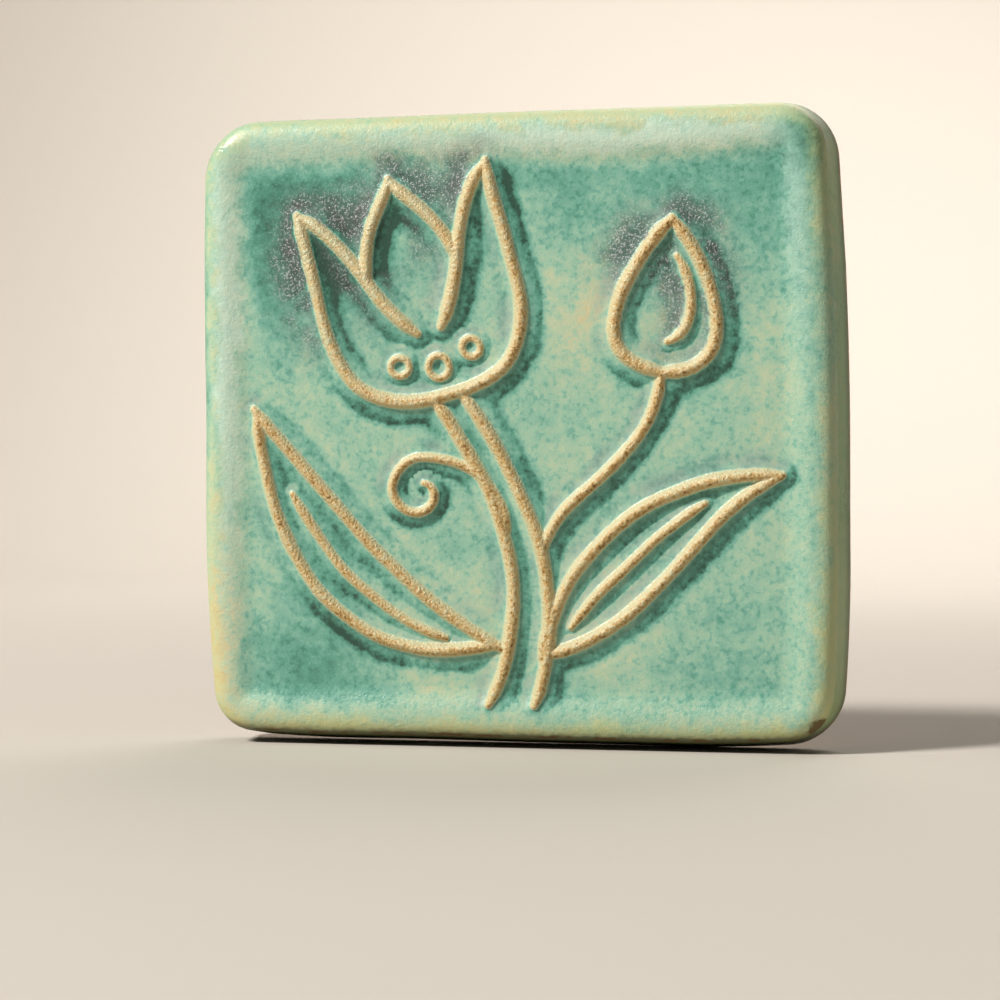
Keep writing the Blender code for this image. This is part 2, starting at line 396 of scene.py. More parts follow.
routes = [route_of(line) for line in spray]
lengths = [np.linalg.norm(np.diff(route.places, axis=0), axis=1).sum() for route in routes]
print(f"the lines are {sum(lengths):.2f} m long in all")

# %% Measure from a line
def nearest_on(route, points):
    """For each point: the way to it from the nearest place on the route, and how near an end that is."""
    gap = np.full(points.shape, np.inf)
    nearest = np.full(len(points), np.inf)
    along = np.zeros(len(points))
    travelled = 0.0
    for start, end in zip(route.places, route.places[1:]):
        way = end - start
        length = math.hypot(*way)
        share = np.clip((points - start) @ way / length ** 2, 0, 1)
        offset = points - start - share[:, None] * way
        distance = np.hypot(*offset.T)
        nearer = distance < nearest
        nearest[nearer] = distance[nearer]
        gap[nearer] = offset[nearer]
        along[nearer] = travelled + share[nearer] * length
        travelled += length
    return gap, np.minimum(along, travelled - along)


print("3 mm beside a line is measured as",
      np.round(nearest_on(Route(np.array([[0, 0], [0.01, 0]]), 1, False), np.array([[0.005, 0.003]]))[0], 4))

# %% [markdown]
# ## The shape of a ridge
#
# Two humps make the ridge: a steep round bead, and a low skirt that is more than twice as wide, where
# the glaze fills the corner between line and field. Where two lines come close, their heights are joined
# with a high power, which is nearly the higher of the two but leaves no crease. Halfway between two
# lines, the nearer one changes at a stroke, which would leave a jagged border in the glaze. So the
# distances are joined in the same way, and each line has its say by how near it is.

# %% Raise the lines
BEAD_REACH = 1.08
SKIRT_REACH = 2.3
SKIRT_SHARE = 0.26
JOIN_POWER = 5
NEARNESS_POWER = 7
NEAREST_MEASURED = 0.05 * MM
END_TAPER = 0.62
TAPER_LENGTH = 2.5 * MM
LEE_SIDE = np.array([0.6, -0.8])
FAR = 9.0
Pressed = namedtuple("Pressed", "rise line lee")


def hump(reached):
    return np.clip(1 - reached ** 2, 0, 1)


def ridge(halves):
    """The height of a ridge, from 0 to 1, at that many half widths from its middle."""
    bead = hump(halves / BEAD_REACH) ** 1.15
    skirt = hump(halves / SKIRT_REACH) ** 2
    return (1 - SKIRT_SHARE) * bead + SKIRT_SHARE * skirt


def press_lines(points, cut):
    """How high the lines stand at each point, how far in mm the nearest one is, and on which side.

    cut is how wide the knife cut there, as a share of the usual width.
    """
    joined = np.zeros(len(points))
    nearness = np.full(len(points), FAR ** -NEARNESS_POWER)
    lee = np.zeros(len(points))
    for route in routes:
        low, high = route.places.min(axis=0) - FAR * MM, route.places.max(axis=0) + FAR * MM
        close = np.flatnonzero(((points > low) & (points < high)).all(axis=1))
        gap, from_end = nearest_on(route, points[close])
        share = route.share * cut[close]
        if not route.closed:
            share = share * (END_TAPER + (1 - END_TAPER) * np.clip(from_end / TAPER_LENGTH, 0, 1))
        distance = np.hypot(*gap.T)
        joined[close] += (share * ridge(distance / (share * LINE_WIDTH / 2))) ** JOIN_POWER
        measured = np.maximum(distance, NEAREST_MEASURED)
        near = (measured / MM / share) ** -NEARNESS_POWER
        nearness[close] += near
        lee[close] += near * (gap @ LEE_SIDE) / measured
    line = nearness ** (-1 / NEARNESS_POWER)
    return Pressed(LINE_RISE * np.minimum(joined ** (1 / JOIN_POWER), 1.0), line, lee / nearness)


print("heights at 0, 1 and 2 half widths:", np.round(ridge(np.array([0.0, 1.0, 2.0])), 2))

# %% [markdown]
# ## The face
#
# The face starts as a square grid. A grid fine enough for the ridges would have far too many cells, so
# the cells stay as large as the plain field allows, and only those near a line are cut three by three.
#
# Its corners are rounded by a mapping: in the small square at each corner, a point keeps how far out it
# is, and its place along the side becomes an angle.

# %% Measure the outline
def radii_at(points):
    """The corner radius of the face in the quarter that each point lies in."""
    left, top = points[:, 0] < 0, points[:, 1] > 0
    top_names = np.where(left, "top left", "top right")
    bottom_names = np.where(left, "bottom left", "bottom right")
    names = np.where(top, top_names, bottom_names)
    return np.array([CORNER_RADII[name] - EDGE_ROLL for name in names])


def into_corner(points):
    """How far each point lies past the middle of its corner's arc, sideways and up."""
    return np.abs(points) - (half_face - radii_at(points)[:, None])


def inside_by(points):
    """How far each point lies inside the face's outline: negative on the roll and the sides."""
    past = into_corner(points)
    beyond = np.hypot(*np.maximum(past, 0).T)
    return radii_at(points) - beyond - np.minimum(past.max(axis=1), 0)


def outwards(points):
    """The direction straight out of the outline at each point."""
    past = into_corner(points)
    past[past.max(axis=1) <= 0] = 0
    way = np.where((past > 0), past, 0) * np.where(points < 0, -1, 1)
    return way / np.maximum(np.hypot(*way.T), 1e-9)[:, None]


print("a point 1 mm inside the right edge is inside by, in mm:",
      np.round(inside_by(np.array([[half_face[0] - MM, 0.0]])) / MM, 3))

# %% Round the grid's corners
def rounded(points):
    """Moves the points of the full square into the outline with its round corners."""
    past = into_corner(points)
    cornered = (past > 0).all(axis=1)
    far, near = past.max(axis=1), past.min(axis=1)
    angle = math.pi / 4 * near / np.where(cornered, far, 1)
    leading, trailing = far * np.cos(angle), far * np.sin(angle)
    sideways_leads = past[:, 0] >= past[:, 1]
    sideways = np.where(sideways_leads, leading, trailing)
    upwards = np.where(sideways_leads, trailing, leading)
    moved = np.column_stack([sideways, upwards])
    placed_out = (moved + half_face - radii_at(points)[:, None]) * np.where(points < 0, -1, 1)
    return np.where(cornered[:, None], placed_out, points)


print("the grid's top left corner moves to, in mm:",
      np.round(rounded(half_face * np.array([[-1, 1]])) / MM, 2))

# %% Cut the face into cells
CELL = 0.65 * MM
FINE_REACH_MM = 2.0
FINE_CUTS = 2


def plan_of(vertices):
    """The places of some vertices as seen from the front, one row each: across and up."""
    return np.array([(vertex.co.x, vertex.co.z) for vertex in vertices])


tile_mesh = bmesh.new()
cells_across, cells_up = (round(2 * half / CELL) for half in half_face)
bmesh.ops.create_grid(tile_mesh, x_segments=cells_across, y_segments=cells_up, size=1.0,
                      matrix=Matrix.Rotation(math.radians(90), 4, "X"))
bmesh.ops.scale(tile_mesh, vec=(half_face[0], 1, half_face[1]), verts=tile_mesh.verts)
grid_plan = plan_of(tile_mesh.verts)
near_line = press_lines(grid_plan, np.ones(len(grid_plan))).line < FINE_REACH_MM
fine_faces = [face for face in tile_mesh.faces if any(near_line[vertex.index] for vertex in face.verts)]
fine_edges = list(dict.fromkeys(edge for face in fine_faces for edge in face.edges))
bmesh.ops.subdivide_edges(tile_mesh, edges=fine_edges, cuts=FINE_CUTS, use_grid_fill=True)
for vertex, (across, up) in zip(tile_mesh.verts, rounded(plan_of(tile_mesh.verts))):
    vertex.co = (across, -rim_thickness, up)
print(cells_across * cells_up, "cells, of which", len(fine_faces), "near a line, now", len(tile_mesh.faces))

# %% [markdown]
# ## The rolled edge, the sides and the back
#
# The rest of the tile grows out of the face's open edge. The loop of edges is extruded again and again,
# and each new loop moves outwards and back along a profile: over the roll, down the leaning side, and
# round the back edge. That keeps every loop matched to the one before, which a separate body joined on
# by a Boolean wouldn't. One flat face closes the back, and its edge is marked sharp so that it is
# shaded as flat.

# %% Work out the side's profile
ROLL_RINGS = 8
SIDE_RINGS = 7
BACK_RINGS = 3
ROUNDNESS = 0.68


def lean_at(drop):
    """How far out the drafted side has come at that depth behind the rim."""
    return EDGE_ROLL + SIDE_DRAFT * drop / rim_thickness


roll_end, back_start = EDGE_ROLL, rim_thickness - BACK_ROUND
turn_down = roll_end * (1 - ROUNDNESS)
roll = bezier((0, 0), (ROUNDNESS * lean_at(0), 0), (lean_at(turn_down), turn_down),
              (lean_at(roll_end), roll_end), ROLL_RINGS)
side = [(lean_at(drop), drop) for drop in np.linspace(roll_end, back_start, SIDE_RINGS + 1)]
back_out = lean_at(back_start)
back_round = bezier((back_out, back_start), (back_out, back_start + ROUNDNESS * BACK_ROUND),
                    (back_out - (1 - ROUNDNESS) * BACK_ROUND, rim_thickness),
                    (back_out - BACK_ROUND, rim_thickness), BACK_RINGS)
side_profile = roll + side[1:] + back_round[1:]
print("the profile has", len(side_profile), "places, in mm:",
      [(round(out / MM, 1), round(drop / MM, 1)) for out, drop in side_profile])

# %% Grow the sides and close the back
def grow(mesh, loop, outward, drop):
    """Extrudes an open loop of edges, outwards by that much and back by that much, and gives the new loop."""
    made = bmesh.ops.extrude_edge_only(mesh, edges=loop)["geom"]
    vertices = [item for item in made if isinstance(item, bmesh.types.BMVert)]
    for vertex, way in zip(vertices, outwards(plan_of(vertices))):
        vertex.co += Vector((way[0] * outward, drop, way[1] * outward))
    return [item for item in made if isinstance(item, bmesh.types.BMEdge) and item.is_boundary]


loop = [edge for edge in tile_mesh.edges if edge.is_boundary]
for (out, drop), (next_out, next_drop) in zip(side_profile, side_profile[1:]):
    loop = grow(tile_mesh, loop, next_out - out, next_drop - drop)
for edge in loop:
    edge.smooth = False
back = bmesh.ops.holes_fill(tile_mesh, edges=loop, sides=0)["faces"]
bmesh.ops.triangulate(tile_mesh, faces=back)
bmesh.ops.recalc_face_normals(tile_mesh, faces=tile_mesh.faces)
tile_data = bpy.data.meshes.new("glazed_tile")
tile_mesh.to_mesh(tile_data)
tile_mesh.free()
tile_data.shade_smooth()
tile_data.calc_loop_triangles()
print("the tile has", len(tile_data.vertices), "vertices and", len(tile_data.loop_triangles), "triangles")

# %% [markdown]
# ## Pressing the drawing into the face
#
# So far the face is flat. Now every vertex of it moves in or out: the field sinks along half a cosine
# wave inside the rim, a slow noise makes it as uneven as clay pressed in by thumbs, and the lines rise.
# The rim isn't the same width all round. It is widest along the top, right of the middle.
# The crests get a fine grain of their own, because bare clay shows there.

# %% Press the face
WIDER_RIM, WIDEST_ACROSS, WIDEST_REACH = 2.2 * MM, 0.42, 0.38
CUT_CHANGE, CUT_LENGTH = 0.12, 7 * MM
THUMB_HEIGHT, THUMB_LENGTH = 0.11 * MM, 13 * MM
RIPPLE_HEIGHT, RIPPLE_LENGTH = 0.03 * MM, 3.2 * MM
CREST_GRAIN, CREST_GRAIN_LENGTH = 0.045 * MM, 0.55 * MM


def noise_at(points, length, layer):
    """Smooth noise from about -1 to 1 at each point, with lumps of that length. Each layer differs."""
    return np.array([noise.noise(Vector((across / length, up / length, layer))) for across, up in points])


places = np.empty(len(tile_data.vertices) * 3)
tile_data.vertices.foreach_get("co", places)
places = places.reshape(-1, 3)
plan = places[:, [0, 2]].copy()
behind_rim = places[:, 1] + rim_thickness
from_edge = inside_by(plan) + EDGE_ROLL
on_face = behind_rim < 1e-6

cut = 1 + CUT_CHANGE * noise_at(plan, CUT_LENGTH, 1)
pressed = press_lines(plan, cut)
across, up = (plan / half_back).T
rim_extra = WIDER_RIM * np.exp(-((across - WIDEST_ACROSS) / WIDEST_REACH) ** 2) * np.clip(up, 0, 1) ** 4
sunk = (1 - np.cos(math.pi * np.clip((from_edge - EDGE_ROLL - rim_extra) / RIM_SLOPE_WIDTH, 0, 1))) / 2
uneven = THUMB_HEIGHT * noise_at(plan, THUMB_LENGTH, 2) + RIPPLE_HEIGHT * noise_at(plan, RIPPLE_LENGTH, 3)
grain = CREST_GRAIN * noise_at(plan, CREST_GRAIN_LENGTH, 4) * pressed.rise / LINE_RISE
places[:, 1] += on_face * (sunk * (FIELD_SINK + uneven) - pressed.rise + grain)
print(f"the highest crest is {-places[:, 1].min() / MM:.2f} mm above the back")

# %% [markdown]
# ## The hand in the outline
#
# No side of a hand-pressed tile is quite straight. The whole outline leans by a millimetre and sways to
# the right above its middle, and a slow noise bends all four sides. Towards the corners the clay didn't
# fill the mould, so the left and right sides draw in there, and the bottom lifts at both its ends.

# %% Bend the outline
LEAN = 1.0 * MM
SWAY, SWAY_UP, SWAY_REACH = 0.35 * MM, 0.2, 0.45
LEFT_IN = 0.3 * MM
BEND, BEND_LENGTH = 0.35 * MM, 34 * MM


def towards(side, corner, depth, start, power):
    """How far one side draws in: nothing up to a start, and the whole depth at its corner."""
    return depth * MM * np.clip(side, 0, 1) ** 3 * np.clip((corner - start) / (1 - start), 0, 1) ** power


left_in = (towards(-across, up, 1.2, 0.20, 1.5) + towards(-across, -up, 1.5, 0.30, 2)
           + LEFT_IN * np.clip(-across, 0, 1) ** 3)
right_in = towards(across, up, 0.6, 0.50, 1) + towards(across, -up, 1.8, 0.42, 1.6)
bottom_in = towards(-up, across, 1.7, 0.50, 2) + towards(-up, -across, 1.3, 0.50, 2)
places[:, 0] += left_in - right_in - LEAN * up + BEND * noise_at(plan, BEND_LENGTH, 9)
places[:, 0] += SWAY * np.exp(-((up - SWAY_UP) / SWAY_REACH) ** 2)
places[:, 2] += bottom_in + BEND * noise_at(plan, BEND_LENGTH, 6)
places[:, 2] = np.maximum(places[:, 2], tile_low.z)
tile_data.vertices.foreach_set("co", places.ravel())
tile_data.update()
print("the bent outline spans, in mm:", np.round(np.ptp(places, axis=0) / MM, 2))

# %% [markdown]
# ## What the glaze needs to know
#
# The glaze is a material, and it can't measure anything on the mesh by itself. So the four distances
# that steer it are written on the vertices as attributes, in millimetres: how far the nearest line is,
# whether the point lies on the line's lower right, how far in from the edge it is, and how far behind
# the rim.

# %% Write the distances on the mesh
def write_reading(name, values):
    attribute = tile_data.attributes.new(name, "FLOAT", "POINT")
    attribute.data.foreach_set("value", np.ascontiguousarray(values, dtype=np.float32))


write_reading("line", np.where(on_face, pressed.line, FAR))
write_reading("lee", np.where(on_face, pressed.lee, 0))
write_reading("inset", np.maximum(from_edge, 0) / MM)
write_reading("drop", behind_rim / MM)
glazed_tile = bpy.data.objects.new("glazed_tile", tile_data)
bpy.context.scene.collection.objects.link(glazed_tile)
print("attributes:", [attribute.name for attribute in tile_data.attributes if attribute.name[0] != "."])

# %% [markdown]
# ## Sums with nodes
#
# A glaze is worked out with many small sums, and each sum in a material is a node. Placing them one by
# one hides the thought behind them. So a reading, that is a number which varies over the surface, gets
# a class of its own with + - * and / on it. Writing 1 - mask then adds the Math node for it.

# %% Let readings be added and multiplied
class Reading:
    """A number that varies over a surface: one output of a node, ready for sums."""

    def __init__(self, finish, socket):
        self.finish, self.socket = finish, socket

    def __add__(self, other):
        return self.finish.sum("ADD", self, other)

    def __sub__(self, other):
        return self.finish.sum("SUBTRACT", self, other)

    def __rsub__(self, other):
        return self.finish.sum("SUBTRACT", other, self)

    def __mul__(self, other):
        return self.finish.sum("MULTIPLY", self, other)

    def __truediv__(self, other):
        return self.finish.sum("DIVIDE", self, other)

    __radd__ = __add__
    __rmul__ = __mul__


class Finish:
    """One material: its Principled shader, and one method that adds any other node."""

    def __init__(self, name):
        self.material = bpy.data.materials.new(name)
        self.material.use_nodes = True
        self.tree = self.material.node_tree
        self.shader = self.tree.nodes["Principled BSDF"]

    def feed(self, socket, value):
        if isinstance(value, Reading):
            self.tree.links.new(value.socket, socket)
        else:
            socket.default_value = value

    def node(self, kind, settings, inputs, output=0):
        """Adds a node, sets it up, feeds its sockets and gives one of its outputs as a reading."""
        node = self.tree.nodes.new(kind)
        for name, setting in settings.items():
            if name == "stops":
                set_stops(node.color_ramp, setting)
            else:
                setattr(node, name, setting)
        for name, value in inputs.items():
            self.feed(node.inputs[name], value)
        return Reading(self, node.outputs[output])

    def sum(self, operation, first, second):
        return self.node("ShaderNodeMath", {"operation": operation}, {0: first, 1: second})


def set_stops(ramp, stops):
    """Puts colours on a ramp, from a list of places and colours."""
    while len(ramp.elements) < len(stops):
        ramp.elements.new(1.0)
    for element, (place, shade) in zip(ramp.elements, stops):
        element.position = place
        element.color = shade


print("a finish can add:", [name for name in vars(Finish) if name[0] != "_"])

# %% [markdown]
# Four short words cover most of what the glaze says: rising from 0 to 1 between two distances, a colour
# laid over another, a patch round a place, and cloudy variation of a certain size. Where several patches
# add up, they are listed as a table.

# %% Words for describing a surface
def colour(hexadecimal):
    """A colour as it is mixed on a screen, such as "c99a5b", turned into the light that it stands for."""
    parts = [int(hexadecimal[at:at + 2], 16) / 255 for at in (0, 2, 4)]
    light = [part / 12.92 if part <= 0.04045 else ((part + 0.055) / 1.055) ** 2.4 for part in parts]
    return (*light, 1.0)


def rising(reading, start, end):
    """0 below start, 1 above end, and smooth between."""
    return reading.finish.node("ShaderNodeMapRange", {"interpolation_type": "SMOOTHSTEP"},
                               {"Value": reading, "From Min": start, "From Max": end})


def between(reading, start, full, until, end):
    """1 from full to until, and falling to 0 at start and at end."""
    return rising(reading, start, full) * (1 - rising(reading, until, end))


def overlaid(share, under, over):
    """One colour over another, where share says how much of it covers."""
    return share.finish.node("ShaderNodeMix", {"data_type": "RGBA"}, {0: share, 6: under, 7: over}, output=2)


def mixed(share, under, over):
    """One reading or number passing into another."""
    return share.finish.node("ShaderNodeMix", {"data_type": "FLOAT"}, {0: share, 2: under, 3: over})


glaze = Finish("green matt glaze")
where = glaze.node("ShaderNodeTexCoord", {}, {}, output="Object")


def clouds(size_mm, detail=2.0):
    """Cloudy variation about 0, mostly within -1 and 1, with lumps of about that size."""
    fog = glaze.node("ShaderNodeTexNoise", {},
                     {"Vector": where, "Scale": 1 / (size_mm * MM), "Detail": detail})
    return (fog - 0.5) * 4


def patch(across_mm, up_mm, reach_mm, behind_mm=0.0):
    """1 at a place on the face, or that far behind it, and fading to 0 at that distance from it."""
    centre = (across_mm * MM, behind_mm * MM - rim_thickness, up_mm * MM)
    away = glaze.node("ShaderNodeVectorMath", {"operation": "DISTANCE"}, {0: where, 1: centre},
                      output="Value")
    return 1 - rising(away, 0.0, reach_mm * MM)


def patches(*spots):
    """Several patches added up. Each is given as across, up, reach and how much it counts."""
    return sum(patch(across_mm, up_mm, reach_mm) * weight for across_mm, up_mm, reach_mm, weight in spots)


line, lee, inset, drop = (glaze.node("ShaderNodeAttribute", {"attribute_name": name}, {}, output="Fac")
                          for name in ("line", "lee", "inset", "drop"))
print("tan clay in linear light:", [round(part, 3) for part in colour("c99a5b")])

# %% [markdown]
# ## How thick the glaze lies
#
# This glaze is a single mixture, yet it shows tan, cream, mint and dark green. All of them come from
# its thickness. So there is one reading for thickness, from 0 where it burned away to 1 where it pooled,
# and one ramp of colours for it. Painting tan lines, cream rims and dark shadows as separate colours
# would give hard borders that no glaze has.
#
# On the open field, thickness is what the brush left: fuller in the top left corner and low on the left,
# thinner in the middle. In the kiln it curdled, so clouds of several sizes lie over that, down to specks
# of a few tenths of a millimetre. The specks are dark where the glaze is thin, and pale where it's thick.

# %% Lay the glaze on the field
FIELD_GLAZE, THINNEST_FIELD = 0.555, 0.385

full_places = patches((-33, 31, 26, 0.31), (-30, -37, 20, 0.20), (22, 34, 24, 0.14),
                      (44, 34, 18, 0.16), (38, -34, 18, 0.06), (-2, 42, 20, 0.13))
thin_places = patches((-12, -36, 18, 0.12), (14, 16, 20, 0.12), (14, -27, 16, 0.12), (40, 4, 14, 0.06))
curdled = clouds(4.5) * 0.05 + clouds(1.8) * 0.06 - rising(clouds(6.0, 1.0), 0.45, 1.2) * 0.08
thick = rising(full_places, 0.08, 0.24)
dark_specks = rising(clouds(0.75, 1.0), -0.2, 1.1) * (0.11 - thick * 0.06)
pale_specks = rising(clouds(0.36, 1.0), 0.30, 0.90) * thick * 0.09
specks = dark_specks - pale_specks + clouds(0.4, 1.0) * 0.02
field = FIELD_GLAZE + full_places - thin_places + clouds(12) * 0.05 + curdled + specks
field = glaze.sum("MAXIMUM", field, THINNEST_FIELD)
print("the field's thickness is worked out with", len(glaze.tree.nodes), "nodes so far")

# %% [markdown]
# At the foot of a line the field's glaze is joined by what ran off the line. The pool deepens with the
# distance, is deepest 3 mm away, and then ends within half a millimetre. It is deep on the line's lower
# right and shallow on the other side; that deepening on the lower right is partly the pool and partly
# painted shade, where the ridge turns away from the light at the upper left. A ramp holds its profile.
# The noise that makes it ragged grows with the distance, because the line's own edge is clean.

# %% Let it pool at the foot of the lines
POOL_SPAN = 6.0
POOL_PROFILE = [(0.9, 0.40), (1.4, 0.46), (2.0, 0.62), (2.4, 0.84),
                (2.9, 1.0), (3.2, 0.92), (3.6, 0.34), (4.4, 0.0)]

wander = clouds(0.45, 2.0) * 0.20 + clouds(1.1) * 0.16 + clouds(2.4) * 0.26 + clouds(6) * 0.30
ragged_line = line + wander * rising(line, 1.2, 3.0)
pool_stops = [(away / POOL_SPAN, (depth, depth, depth, 1)) for away, depth in POOL_PROFILE]
pool_depth = glaze.node("ShaderNodeValToRGB", {"stops": pool_stops}, {0: ragged_line / POOL_SPAN})
# Painted shade, in part: the pool is deepened on the lower right of each line, where the ridge turns from the
# light.
lee_shade = rising(lee, -0.35, 0.45)
pool_reach = 0.05 + lee_shade * 0.31 + clouds(5) * 0.07 + clouds(0.9) * 0.05
beyond_pool = between(ragged_line, 3.6, 4.4, 5.4, 7.5) * rising(clouds(3.5), -0.3, 0.8) * 0.06
around_lines = field + pool_depth * pool_reach - beyond_pool
print("the pool is deepest, in mm from the line:", max(POOL_PROFILE, key=lambda stop: stop[1])[0])

# %% [markdown]
# On the crest there is hardly any glaze. Both flanks kept a cream film, and only a core less than a
# millimetre wide burned down to the tan clay. The core lies a little to the lower right of the middle, and
# the lower right flank is browner still: that is partly burned clay and partly painted shade, on the side
# of the ridge turned away from the light. It is the core that is grainy, with small brown pits. More of it
# burned away in some stretches than in others, and least at the top left. How far a point lies towards the
# lower right is its distance from the line times the side that it is on.

# %% Burn it off the crests
CREST_GLAZE = 0.335

towards_lee = line * lee
kept_cream = patch(-34, 36, 50)
# Partly painted shade: the tan core leans to the lower right and that flank is browned further.
core = 1 - rising(line - lee * 0.18 + clouds(0.6) * 0.16, 0.34, 0.86)
core_burn = 0.105 - kept_cream * 0.10 + clouds(4) * 0.06
core_grains = (clouds(0.45) * 0.08 + clouds(0.9) * 0.06) * (1 - kept_cream * 0.4)
burned_pits = rising(clouds(0.55), 0.45, 0.90) * (0.09 - kept_cream * 0.05)
burned_and_shaded_edge = rising(towards_lee, 0.1, 0.7) * 0.04
crest = CREST_GLAZE + clouds(1.2) * 0.03 - burned_and_shaded_edge - core * (core_burn + burned_pits - core_grains)
off_crest = rising(line + towards_lee * 0.13 + clouds(0.5) * 0.06, 0.88, 1.36)
face_thickness = mixed(off_crest, crest, around_lines)
print("the cream film on a crest has a thickness of", CREST_GLAZE)

# %% [markdown]
# The rim and the rolled edge stand up as well, so they are thin too: cream at the outermost edge and
# mint inside it. The pale band is widest at the left and along the top, yellowest along the bottom,
# flecked with tan at the lower left, and greener at the right. It never follows the edge exactly, so
# noise of four sizes is added to the distance from the edge before the band is drawn from it.

# %% Thin it over the rim
RIM_GLAZE = 0.41

height_up = glaze.node("ShaderNodeSeparateXYZ", {}, {"Vector": where}, output="Z") / MM
ragged_inset = inset + clouds(0.5, 2.0) * 0.35 + clouds(1.5, 3.0) * 0.5 + clouds(4) * 0.8 + clouds(11) * 1.0
wide_rim = ragged_inset - patches((-54, 14, 66, 3.6), (16, 56, 64, 3.8), (54, -30, 26, 1.8),
                                  (50, 32, 20, -2.5))
past_rim = rising(wide_rim, 2.6, 7.0)
low_rim, right_edge = rising(0 - height_up, 38.0, 46.0), patch(58, 0, 70)
rim_grain = rising(clouds(0.75, 1.0), -0.2, 1.1) * 0.08 + clouds(0.4, 1.0) * 0.03 + clouds(1.9) * 0.06
tan_specks = rising(clouds(1.0, 2.0), 0.35, 0.9) * patches((-53, -34, 34, 0.14), (20, 50, 40, 0.04))
left_edge, top_edge = patch(-54, 14, 60), patch(16, 56, 64)
rim_coats = (left_edge * 0.03 + rising(right_edge, 0.2, 0.5) * 0.05
             + patches((-52, -36, 30, -0.12), (50, 22, 26, 0.07), (14, -50, 18, 0.07)))
over_left_roll = between(drop + clouds(2) * 0.2, 0.2, 0.9, 3.0, 4.0) * left_edge
on_rim = (RIM_GLAZE + rising(ragged_inset, 0.4, 3.6) * 0.09 + clouds(4) * 0.04 + rim_grain - tan_specks
          + rim_coats + over_left_roll * 0.17)
film_share = (0.33 + low_rim * 0.25
              + patches((-54, 8, 50, -0.16), (51, 14, 22, -0.2), (52, -34, 30, 0.35), (52, 38, 18, 0.25)))
edge_film = (1 - rising(ragged_inset, 0.3, 3.6)) * film_share
thickness = mixed(past_rim, mixed(rising(line, 1.0, 2.4), face_thickness, on_rim), face_thickness)
print("the rim's glaze has a thickness of about", RIM_GLAZE)

# %% [markdown]
# Down the sides the glaze ran in streaks. They are a noise too, but one that is stretched from front to
# back, the way the glaze ran. At the top right corner it ran together into one dark pool.

# %% Let it run down the sides
SIDE_GLAZE = 0.49
STREAK_STRETCH, STREAK_SCALE = 0.12, 700.0

stretched = glaze.node("ShaderNodeMapping", {}, {"Vector": where, "Scale": (1.0, STREAK_STRETCH, 1.0)})
streaks = glaze.node("ShaderNodeTexNoise", {}, {"Vector": stretched, "Scale": STREAK_SCALE, "Detail": 2.0})
streak = (streaks - 0.5) * 4
on_side = rising(drop + clouds(2) * 0.3, 1.8, 3.4)
thickness = mixed(on_side, thickness, SIDE_GLAZE + streak * 0.13 + clouds(3) * 0.06 + rim_grain)
corner_pool = patch(48, 43, 10.5)
thickness = thickness + corner_pool * (1 - rising(drop, 0.8, 1.6)) * 0.34
print("the streaks are", round(1 / STREAK_STRETCH), "times as long as they are wide")

# %% [markdown]
# Round the edge the glaze burned through to the clay in a thin line, here and there at the sides and
# nearly all along the bottom, and a chip was knocked off the bottom right corner. A pinhole and a dot of
# cream lie on the field.

# %% Wear the edge
low_down = rising(0 - height_up, 44.5, 48.0)
chip = rising(patch(47.1, -45.2, 3.3, 2.0) + clouds(0.6, 2.0) * 0.16, 0.30, 0.62)
worn_edge = (between(drop + clouds(3.5) * 0.25 + clouds(0.8, 2.0) * 0.14, 0.9, 1.3, 1.5, 2.0)
             * rising(clouds(3.0, 3.0) * 0.7 + low_down * 0.9, 0.50, 1.30))
bare_edge = worn_edge + chip - worn_edge * chip
pit, cream_dot = patch(26, -3, 0.55), patch(35, 16, 1.1)
thickness = thickness - pit * 0.9 - cream_dot * 0.30
print("the glaze's thickness takes", len(glaze.tree.nodes), "nodes in all")

# %% [markdown]
# ## The glaze's colours
#
# The ramp runs from burned clay through tan, cream and mint to the dark green of a pool. Its stops
# aren't evenly spaced: tan turns to cream within a hair's breadth, but the greens change slowly. Towards
# the outer edge a yellow-green film lies over it. On the slopes inside the top and the left rim a pale mint
# is painted over it as a sheen, which lightens the shade on those slopes where they turn from the light.
# On the sides the brush left a single coat over the brown clay, which turns it olive, darker towards the
# back, and underneath it is darkest, with painted shade. Last comes the thin line where the clay is bare,
# and a chip at the bottom right corner.

# %% Colour the glaze by its thickness
GLAZE_COLOURS = [
    (0.00, "43331a"), (0.10, "8e6b34"), (0.19, "c39f62"), (0.27, "d1bb89"), (0.35, "ccc49b"),
    (0.42, "bec9a6"), (0.49, "adc7a9"), (0.57, "96c0a7"), (0.66, "78af9b"), (0.75, "609d89"),
    (0.84, "4c8572"), (0.92, "3c6a59"), (1.00, "2e4f41"),
]
YELLOW_GREEN, SHEEN_MINT, OLIVE = colour("c2c682"), colour("deefdf"), colour("6f9b53")
DARK_OLIVE, WORN_BROWN = colour("41431f"), colour("5a3a10")
glaze_stops = [(place, colour(shade)) for place, shade in GLAZE_COLOURS]
green = glaze.node("ShaderNodeValToRGB", {"stops": glaze_stops}, {0: thickness})
green = overlaid(edge_film, green, YELLOW_GREEN)
# Painted sheen: pale mint over the inner slopes of the top and left rim, lightening their shade.
slope_sheen = between(ragged_inset, 2.0, 3.8, 4.9, 7.2) * (left_edge + top_edge) * (1 - corner_pool) * off_crest
green = overlaid(slope_sheen * 0.52, green, SHEEN_MINT)
green = overlaid(on_side * (0.70 - patches((52, -36, 26, 0.35), (52, 36, 20, 0.35))), green, OLIVE)
green = overlaid(rising(drop + clouds(2) * 0.4, 6.5, 10.5) * 0.55, green, DARK_OLIVE)
# Painted shade: the underside is darkened to a dark olive, where shade falls under the tile.
underside_shade = low_down * rising(drop + clouds(1.2, 3.0) * 0.2, 0.35, 1.15)
green = overlaid(underside_shade * 0.94, green, DARK_OLIVE)
green = overlaid(bare_edge * 0.88, green, WORN_BROWN)
print("the ramp has", len(GLAZE_COLOURS), "stops")
